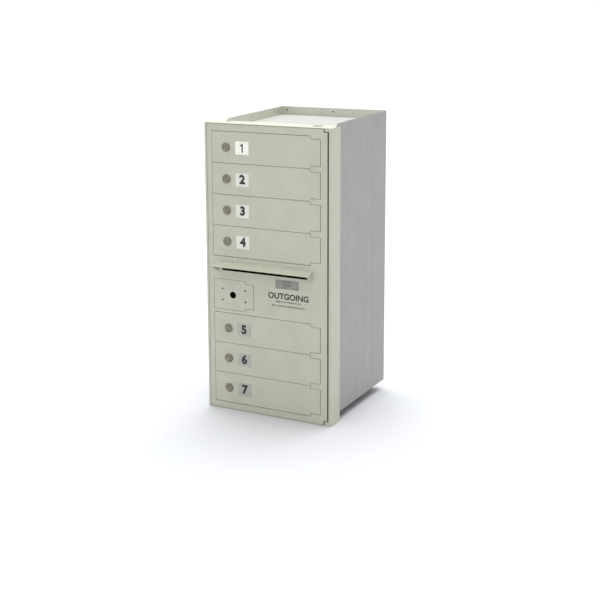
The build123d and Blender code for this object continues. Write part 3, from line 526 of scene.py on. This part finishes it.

# --- Hinges, latch and strips -------------------------------------------------------------
# Everything behind the front that turns, slides or catches is zinc-plated steel: hinge
# brackets and pins, the latch bar with its hooks and guides, the strikes and the lock strips.
# The plating is dull, with a soft crystalline mottle. The slot's baffle is coloured nearly black as
# painted shade for the dark letter slot.


def zinc_plate(name, light, dark):
    """Galvanised steel: small angular spangles under a cloudy film."""
    material, place = begin_finish(name, Metallic=0.9)
    crystals = place.node("ShaderNodeTexVoronoi", sockets={"Vector": place, "Scale": 1 / (5 * MM)},
                          output="Color")
    spangle = crystals.node("ShaderNodeSeparateColor", sockets={"Color": crystals}, output="Red")
    film = noise(place, 18 * MM, detail=4.0)
    colour = blend(ramp(spangle * 0.5 + film * 0.5, 0.2, 0.8), dark, light)
    return end_finish(material, colour, 0.34 + spangle * 0.10 + film * 0.12, film, 0.02 * MM)


ZINC = zinc_plate("zinc_plate", srgb(178, 180, 180), srgb(150, 152, 152))
SLOT_SHADE_ZINC = zinc_plate("slot_shade_plate", srgb(62, 62, 58), srgb(46, 46, 43))
for fitting in ("hinge_brackets", "strike_strips", "latch_guides"):
    softened(fitting, "master_door", ZINC, bend=0.8 * MM)
# Painted shade: the baffle behind the slot is coloured nearly black so the slot reads dark.
softened("slot_baffle", "master_door", SLOT_SHADE_ZINC, bend=0.6 * MM)
softened("latch_bar", "latch", ZINC, bend=0.8 * MM)
softened("latch_strikes", "cabinet", ZINC, bend=0.8 * MM)
dress(["door_hinge_pins", "master_hinge_pins"], ZINC)

# --- Doors --------------------------------------------------------------------------------
# Seven tenant doors and the small door for the master lock. Each is a shallow pan pressed from
# 1.5 mm sheet, with two corners notched for its hinge tabs, and painted like the rest.
DOOR_NUMBERS = range(1, 8)
dress([f"door_panel_{number}" for number in DOOR_NUMBERS], PAINT)
dress(["lock_door_panel"], PAINT)

# --- Cam locks ----------------------------------------------------------------------------
# Each tenant door has a cam lock of die-cast zinc: a threaded barrel with a round head, a
# hexagon nut behind the door, and a plug with the keyway. The plug turns a steel cam held by a
# cross-head screw.
LOCK_METAL = bright_metal("lock_zinc", srgb(112, 110, 98), srgb(150, 147, 132), 0.20, 0.95)
PLUG_METAL = bright_metal("lock_plug_zinc", srgb(124, 120, 106), srgb(160, 155, 138), 0.28)
HEAD_RADIUS = 12.5 * MM
HEAD_HEIGHT = 4.5 * MM
HEAD_ROUNDING = 2.5 * MM
ROUNDING_STEPS = 6
HEAD_SHOULDER = 0.2 * MM
HEAD_GROOVE = 0.35 * MM
BARREL_RADIUS = 9.5 * MM
BORE_RADIUS = 6.0 * MM
THREAD_PITCH = 1.0 * MM
THREAD_DEPTH = 0.35 * MM
NUT_FLATS = 12.0 * MM
NUT_START = 1.5 * MM
NUT_THICKNESS = 4.0 * MM
NUT_CHAMFER = 0.9 * MM
PLUG_RADIUS = 5.95 * MM
PLUG_RECESS = 0.4 * MM
KEYWAY_DEPTH = 10.0 * MM
CAM_BACK = 18.2 * MM
CAM_THICKNESS = 2.0 * MM
CAM_WIDTH = 12.0 * MM
CAM_REACH = 40.0 * MM
CAM_SQUARE = 7.0 * MM
CAM_CLEARANCE = 0.1 * MM
SCREW_RADIUS = 5.0 * MM
WASHER_HEIGHT = 0.9 * MM
RECESS_DEPTH = 1.1 * MM


def flat_solid(curve, place, thickness):
    """A filled curve or text, given a thickness, standing upright with its face at place."""
    curve.extrude = thickness / 2
    maker = new_object(curve.name, curve)
    graph = bpy.context.evaluated_depsgraph_get()
    data = bpy.data.meshes.new_from_object(maker.evaluated_get(graph))
    bpy.data.objects.remove(maker)
    shape = bmesh.new()
    shape.from_mesh(data)
    bpy.data.meshes.remove(data)
    middle = Matrix.Translation((place.x, place.y + thickness / 2, place.z))
    upright = Matrix.Rotation(math.pi / 2, 4, "X")
    bmesh.ops.transform(shape, matrix=middle @ upright, verts=shape.verts)
    bmesh.ops.remove_doubles(shape, verts=shape.verts, dist=0.001 * MM)
    bmesh.ops.recalc_face_normals(shape, faces=shape.faces)
    return shape


def outlines(name, *loops):
    """A filled flat curve from closed loops of points; an inner loop is a hole."""
    curve = bpy.data.curves.new(name, "CURVE")
    curve.dimensions = "2D"
    curve.fill_mode = "BOTH"
    for loop in loops:
        spline = curve.splines.new("POLY")
        spline.points.add(len(loop) - 1)
        for point, (x, y) in zip(spline.points, loop):
            point.co = (x, y, 0, 1)
        spline.use_cyclic_u = True
    return curve


def circle(radius, steps=40, start=0.0, sweep=2 * math.pi, centre=(0.0, 0.0)):
    """Points round a circle or an arc of it."""
    turns = [start + sweep * step / steps for step in range(steps)]
    return [(centre[0] + radius * math.cos(turn), centre[1] + radius * math.sin(turn))
            for turn in turns]


def rectangle(width, height, corner, steps=5):
    """A rectangle with rounded corners, about the origin."""
    points = []
    for quarter, (side, up) in enumerate(((1, 1), (-1, 1), (-1, -1), (1, -1))):
        middle = (side * (width / 2 - corner), up * (height / 2 - corner))
        points += circle(corner, steps, quarter * math.pi / 2, math.pi / 2, middle)
        turn = (quarter + 1) * math.pi / 2
        points.append((middle[0] + corner * math.cos(turn), middle[1] + corner * math.sin(turn)))
    return points


def keyway():
    """A paracentric keyway: a narrow slot with two wards that bend it."""
    half, bend, top = 0.8 * MM, 0.5 * MM, 4.0 * MM
    right = [(half, -top), (half, -2.2 * MM), (half - bend, -1.6 * MM), (half, -1.0 * MM),
             (half, 1.0 * MM), (half + bend, 1.6 * MM), (half, 2.2 * MM), (half, top)]
    left = [(x - 2 * half, y) for x, y in reversed(right)]
    return right + left


def cross(reach, arm):
    """A cross-head recess."""
    return [(reach, arm), (arm, arm), (arm, reach), (-arm, reach), (-arm, arm), (-reach, arm),
            (-reach, -arm), (-arm, -arm), (-arm, -reach), (arm, -reach), (arm, -arm), (reach, -arm)]


def lock_body(centre, length):
    """Head, threaded barrel and bore, as one turned ring."""
    rim = HEAD_RADIUS - HEAD_ROUNDING
    face = -HEAD_HEIGHT
    profile = [(BORE_RADIUS, length), (BORE_RADIUS, face + 0.9 * MM),
               (BORE_RADIUS + 0.7 * MM, face + HEAD_SHOULDER), (BORE_RADIUS + 1.0 * MM, face),
               (rim - 0.9 * MM, face), (rim - 0.7 * MM, face + HEAD_GROOVE),
               (rim - 0.3 * MM, face + HEAD_GROOVE)]
    for step in range(ROUNDING_STEPS + 1):
        turn = math.pi / 2 * step / ROUNDING_STEPS
        profile.append((rim + HEAD_ROUNDING * math.sin(turn),
                        face + HEAD_SHOULDER + HEAD_ROUNDING * (1 - math.cos(turn))))
    profile += [(HEAD_RADIUS, 0), (BARREL_RADIUS, 0), (BARREL_RADIUS, NUT_START)]
    crest = NUT_START
    while crest + THREAD_PITCH < length:
        profile.append((BARREL_RADIUS - THREAD_DEPTH, crest + THREAD_PITCH / 2))
        profile.append((BARREL_RADIUS, crest + THREAD_PITCH))
        crest += THREAD_PITCH
    profile += [(BARREL_RADIUS - THREAD_DEPTH, length), (BORE_RADIUS, length)]
    return lathe(profile, centre, 56)


def lock_nut(centre):
    """The hexagon nut, with its corners turned down."""
    def hexagon(angle):
        return NUT_FLATS / math.cos((angle + math.pi / 6) % (math.pi / 3) - math.pi / 6)

    inner = BARREL_RADIUS
    back = NUT_START + NUT_THICKNESS
    return lathe([(inner, NUT_START), (hexagon, NUT_START), (hexagon, back - NUT_CHAMFER),
                  (NUT_FLATS, back), (inner, back), (inner, NUT_START)], centre, 48)


def lock_plug(centre):
    """The turning plug: a face cut by the keyway, and the solid tail behind it."""
    front = Vector((centre.x, centre.y - HEAD_HEIGHT + PLUG_RECESS, centre.z))
    face = flat_solid(outlines("plug_face", circle(PLUG_RADIUS), keyway()), front, KEYWAY_DEPTH)
    start = -HEAD_HEIGHT + PLUG_RECESS + KEYWAY_DEPTH
    end = CAM_BACK - CAM_THICKNESS
    tail = lathe([(0, start), (PLUG_RADIUS, start), (PLUG_RADIUS, end), (0, end)], centre, 40)
    square = rectangle(CAM_SQUARE, CAM_SQUARE, 0.3 * MM)
    drive = flat_solid(outlines("plug_drive", square),
                       Vector((centre.x, centre.y + end, centre.z)), CAM_THICKNESS)
    return joined(face, tail, drive)


def cam_arm(centre):
    """The flat cam, round at both ends, on the plug's square."""
    half = CAM_WIDTH / 2
    low = -CAM_REACH + half
    loop = circle(half, 24, 0, math.pi) + circle(half, 24, math.pi, math.pi, (0, low))
    hole = rectangle(CAM_SQUARE + CAM_CLEARANCE, CAM_SQUARE + CAM_CLEARANCE, 0.3 * MM)
    place = Vector((centre.x, centre.y + CAM_BACK - CAM_THICKNESS, centre.z))
    return flat_solid(outlines("cam_arm", loop, hole), place, CAM_THICKNESS)


def cam_screw(centre):
    """A pan-head screw with a cross recess, and the spring washer under it."""
    seat = WASHER_HEIGHT + 0.1 * MM
    head = SCREW_RADIUS - 0.5 * MM
    pan = lathe([(0, 0), (SCREW_RADIUS, 0), (SCREW_RADIUS, WASHER_HEIGHT), (head, WASHER_HEIGHT),
                 (head, seat), (0, seat)], Vector((centre.x, centre.y + CAM_BACK, centre.z)), 36)
    crown = outlines("screw_crown", circle(SCREW_RADIUS - 0.6 * MM, 36), cross(2.3 * MM, 0.5 * MM))
    place = Vector((centre.x, centre.y + CAM_BACK + seat, centre.z))
    return joined(pan, flat_solid(crown, place, RECESS_DEPTH))


for number in DOOR_NUMBERS:
    low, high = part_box(f"lock_cylinder_{number}")
    lock_centre = Vector(((low.x + high.x) / 2, low.y + HEAD_HEIGHT, (low.z + high.z) / 2))
    barrel = lock_body(lock_centre, high.y - lock_centre.y)
    add_piece(f"lock_barrel_{number}", barrel, f"door_{number}", LOCK_METAL,
              [f"lock_cylinder_{number}"])
    add_piece(f"lock_nut_{number}", lock_nut(lock_centre), f"door_{number}", ZINC)
    add_piece(f"lock_plug_{number}", lock_plug(lock_centre), f"cam_{number}",
              PLUG_METAL, [f"lock_cam_{number}"])
    add_piece(f"cam_arm_{number}", cam_arm(lock_centre), f"cam_{number}", ZINC)
    add_piece(f"cam_screw_{number}", cam_screw(lock_centre), f"cam_{number}", ZINC)

# --- Number plates ------------------------------------------------------------------------
# A satin foil plate beside each lock, with round corners, carries the door's number in bold
# black figures. The top plate is coloured nearly white as painted reflection, the lower three
# darker as painted shade.
INK_THICKNESS = 0.08 * MM
FIGURE_SIZE = 34 * MM
FIGURE_WEIGHT = 1.7 * MM
PLATE_CORNER = 1.2 * MM
# The font's own figure one has no flag, so this one is drawn point by point.
FIGURE_ONE = [(x * MM, z * MM) for x, z in (
    (3.2, -12.5), (3.2, 12.5), (0.2, 12.5), (-1.6, 9.4), (-5.6, 8.2), (-5.6, 4.9), (-1.0, 5.4),
    (-1.0, -12.5))]


def brushed_foil(name, light, dark, roughness):
    """Foil with a fine grain across it and a few rubbed patches."""
    material, place = begin_finish(name, Metallic=0.55)
    grain = noise(place, 0.5 * MM, (40, 1, 1), detail=3.0)
    rubbed = noise(place, 12 * MM, detail=3.0)
    colour = blend(ramp(grain * 0.6 + rubbed * 0.4, 0.35, 0.65), dark, light)
    return end_finish(material, colour, roughness + grain * 0.12 + rubbed * 0.06, grain, 0.01 * MM)


def printing_ink(name, shade):
    """Screen-printed ink, slightly uneven."""
    material, place = begin_finish(name)
    cover = noise(place, 1.5 * MM, detail=4.0)
    thin_ink = [part + 22 for part in shade]
    colour = blend(ramp(cover, 0.3, 0.8), srgb(*shade), srgb(*thin_ink))
    return end_finish(material, colour, 0.42 + cover * 0.15, cover, 0.01 * MM)


def words(name, text, size, place, weight=0.0):
    """Upright lettering centred on place; weight thickens the strokes."""
    curve = bpy.data.curves.new(name, "FONT")
    curve.body = text
    curve.size = size
    curve.offset = weight
    curve.align_x = "CENTER"
    curve.align_y = "CENTER"
    curve.resolution_u = 6
    return flat_solid(curve, place, INK_THICKNESS)


# Painted reflection and shade: the top plate's foil is lighter and the lower three darker, for the
# bright floor or the shadow in front that each would reflect.
LIT_FOIL = brushed_foil("lit_number_foil", srgb(240, 241, 230), srgb(230, 231, 220), 0.24)
NUMBER_FOIL = brushed_foil("number_foil", srgb(220, 221, 210), srgb(206, 207, 197), 0.24)
SHADED_FOIL = brushed_foil("shaded_number_foil", srgb(176, 177, 168), srgb(162, 164, 155), 0.30)
BLACK_INK = printing_ink("black_ink", (18, 18, 18))
foils = {1: LIT_FOIL, 5: SHADED_FOIL, 6: SHADED_FOIL, 7: SHADED_FOIL}
for number in DOOR_NUMBERS:
    low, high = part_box(f"number_plate_{number}")
    middle = Vector(((low.x + high.x) / 2, low.y, (low.z + high.z) / 2))
    loop = rectangle(high.x - low.x, high.z - low.z, PLATE_CORNER)
    foil = flat_solid(outlines("number_foil", loop), middle, high.y - low.y)
    add_piece(f"number_foil_{number}", foil, f"door_{number}",
              foils.get(number, NUMBER_FOIL), [f"number_plate_{number}"])
    ink_place = Vector((middle.x, middle.y - INK_THICKNESS, middle.z))
    if number == 1:
        figure = flat_solid(outlines("figure_1", FIGURE_ONE), ink_place, INK_THICKNESS)
    else:
        figure = words(f"figure_{number}", str(number), FIGURE_SIZE, ink_place, FIGURE_WEIGHT)
    add_piece(f"figure_{number}", figure, f"door_{number}", BLACK_INK)

# --- Label and printing on the middle panel -----------------------------------------------
# A brushed silver foil with a plain envelope sign is stuck under the slot's right end. Below
# it the word for posted letters is printed on the paint, over two short lines of fine marks.
LABEL_FOIL = brushed_foil("silver_foil", srgb(150, 149, 144), srgb(128, 127, 122), 0.38)
GREY_INK = printing_ink("grey_ink", (44, 43, 36))
FAINT_INK = printing_ink("faint_ink", (96, 92, 78))
low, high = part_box("outgoing_label")
label_middle = Vector(((low.x + high.x) / 2, low.y, (low.z + high.z) / 2))
label_width, label_height = high.x - low.x, high.z - low.z
paint_face = high.y
LABEL_CORNER = 0.8 * MM
label = flat_solid(outlines("silver_label", rectangle(label_width, label_height, LABEL_CORNER)),
                   label_middle, high.y - low.y)
add_piece("silver_label", label, "master_door", LABEL_FOIL, ["outgoing_label"])


def stroke(start, end, width):
    """A straight printed line, as a thin rectangle from start to end."""
    along = (Vector(end) - Vector(start)).normalized() * width / 2
    side = Vector((-along.y, along.x))
    tail, tip = Vector(start) - along, Vector(end) + along
    return [tuple(tail + side), tuple(tail - side), tuple(tip - side), tuple(tip + side)]


ENVELOPE_WIDTH = 20 * MM
ENVELOPE_HEIGHT = 12 * MM
LINE_WIDTH = 0.9 * MM
SIGN_RISE = 4 * MM
sign_place = Vector((label_middle.x, label_middle.y - INK_THICKNESS, label_middle.z + SIGN_RISE))
half_width, half_height = ENVELOPE_WIDTH / 2, ENVELOPE_HEIGHT / 2
top_left, top_right = (-half_width, half_height), (half_width, half_height)
low_left, low_right = (-half_width, -half_height), (half_width, -half_height)
flap_tip = (0, -0.2 * half_height)
sign_lines = [(top_left, top_right), (low_left, low_right), (low_left, top_left),
              (low_right, top_right), (top_left, flap_tip), (top_right, flap_tip)]
sign = joined(*[flat_solid(outlines("sign", stroke(start, end, LINE_WIDTH)), sign_place,
                           INK_THICKNESS) for start, end in sign_lines])
add_piece("envelope_sign", sign, "master_door", GREY_INK)
WORD_DROP = 35 * MM
WORD_SHIFT = 3.5 * MM
WORD_SIZE = 23 * MM
WORD_WEIGHT = 0.8 * MM
word_place = Vector((label_middle.x + WORD_SHIFT, paint_face - INK_THICKNESS,
                     label_middle.z - WORD_DROP))
word = words("outgoing_word", "OUTGOING", WORD_SIZE, word_place, WORD_WEIGHT)
add_piece("outgoing_word", word, "master_door", GREY_INK)


def fine_marks():
    """A tree that lays a row of small upright bars of uneven widths on every point."""
    tree = bpy.data.node_groups.new("fine_marks", "GeometryNodeTree")
    kinds = {"Count": "NodeSocketInt", "Pitch": "NodeSocketFloat", "Height": "NodeSocketFloat",
             "Thickness": "NodeSocketFloat", "Seed": "NodeSocketInt",
             "Material": "NodeSocketMaterial"}
    given = add_inputs(tree, kinds)
    count, pitch = given.output("Count"), given.output("Pitch")
    step = given.node("ShaderNodeCombineXYZ", sockets={"X": pitch})
    row = given.node("GeometryNodeMeshLine", {"mode": "OFFSET"}, {"Count": count, "Offset": step})
    back = given.node("ShaderNodeCombineXYZ", sockets={"X": (count - 1) * pitch * -0.5})
    centred = row.node("GeometryNodeTransform", sockets={"Geometry": row, "Translation": back})
    size = given.node("ShaderNodeCombineXYZ", sockets={
        "X": pitch, "Y": given.output("Thickness"), "Z": given.output("Height")})
    bar = given.node("GeometryNodeMeshCube", sockets={"Size": size})
    wide = given.node("FunctionNodeRandomValue", {"data_type": "FLOAT_VECTOR"}, {
        0: (0.35, 1.0, 0.75), 1: (0.85, 1.0, 1.0), "Seed": given.output("Seed")})
    bars = bar.node("GeometryNodeInstanceOnPoints", sockets={
        "Points": centred, "Instance": bar, "Scale": wide})
    rows = bars.node("GeometryNodeInstanceOnPoints", sockets={
        "Points": given.output("Geometry"), "Instance": bars})
    close_tree(rows, given.output("Material"))
    return tree


MARKS_TREE = fine_marks()
MARK_SIZES = {"Pitch": 3.6 * MM, "Height": 5.4 * MM, "Thickness": INK_THICKNESS,
              "Material": FAINT_INK}
MARK_ROWS = ((50 * MM, 22), (62 * MM, 29))
for row, (drop, count) in enumerate(MARK_ROWS):
    point = Vector((word_place.x, word_place.y + INK_THICKNESS / 2, label_middle.z - drop))
    grown(f"fine_marks_{row + 1}", MARKS_TREE, [point],
          {**MARK_SIZES, "Count": count, "Seed": row}, "master_door")

# --- Studio -------------------------------------------------------------------------------
# A plain pale floor with a distant white backdrop, under two very broad soft lights: one high
# and behind, which brightens the top and drops a soft shadow forward, and one high in front.
# The camera stands to the right of the front, a little above the unit.
FLOOR_HALF = 40.0
BACKDROP_RADIUS = 38.0
BACKDROP_HEIGHT = 15.0
floor_data = bpy.data.meshes.new("floor")
floor_data.from_pydata([(-FLOOR_HALF, -FLOOR_HALF, 0), (FLOOR_HALF, -FLOOR_HALF, 0),
                        (FLOOR_HALF, FLOOR_HALF, 0), (-FLOOR_HALF, FLOOR_HALF, 0)], [],
                       [(0, 1, 2, 3)])
floor_paint, spot = begin_finish("floor_paint", Specular_IOR_Level=0.1)
end_finish(floor_paint, blend(noise(spot, 0.6), srgb(193, 195, 199), srgb(196, 197, 201)),
           0.85 + noise(spot, 0.3) * 0.1)
floor_data.materials.append(floor_paint)
floor = new_object("floor", floor_data)

backdrop_shape = bmesh.new()
bmesh.ops.create_cone(backdrop_shape, segments=96, radius1=BACKDROP_RADIUS,
                      radius2=BACKDROP_RADIUS, depth=BACKDROP_HEIGHT)
bmesh.ops.translate(backdrop_shape, verts=backdrop_shape.verts, vec=(0, 0, BACKDROP_HEIGHT / 2))
backdrop_data = bpy.data.meshes.new("backdrop")
backdrop_shape.to_mesh(backdrop_data)
backdrop_shape.free()
backdrop_glow = begin_finish("backdrop_glow", Base_Color=(0, 0, 0, 1), Specular_IOR_Level=0.0,
                             Emission_Color=(0.99, 0.995, 1.0, 1), Emission_Strength=1.02)[0]
backdrop_data.materials.append(backdrop_glow)
backdrop = new_object("backdrop", backdrop_data)
backdrop.visible_shadow = False

world = bpy.data.worlds.new("surround")
world.use_nodes = True
bpy.context.scene.world = world
world.node_tree.nodes["Background"].inputs["Color"].default_value = (0.97, 0.985, 1.0, 1.0)
world.node_tree.nodes["Background"].inputs["Strength"].default_value = 0.43

SUN_COLOUR = (1.0, 0.995, 0.98)
for name, power, spread, place in (("behind_and_above", 3.8, 64, (-0.25, 1.3, 3.0)),
                                   ("front_and_above", 1.5, 70, (0.1, -1.1, 3.0))):
    lamp = bpy.data.lights.new(name, "SUN")
    lamp.angle = math.radians(spread)
    lamp.energy = power
    lamp.color = SUN_COLOUR
    holder = new_object(name, lamp)
    holder.rotation_mode = "QUATERNION"
    holder.rotation_quaternion = (-Vector(place)).to_track_quat("-Z", "Y")

CAMERA_PLACE = (1.5838, -3.1874, 1.2465)
CAMERA_DEGREES = (78.427, 1.033, 30.381)
camera_data = bpy.data.cameras.new("camera")
camera_data.lens = 75.4
camera_data.shift_x = 0.1575
camera_data.shift_y = -0.1202
camera = new_object("camera", camera_data)
camera.location = CAMERA_PLACE
camera.rotation_euler = [math.radians(angle) for angle in CAMERA_DEGREES]
bpy.context.scene.camera = camera
bpy.context.scene.view_settings.view_transform = "Standard"
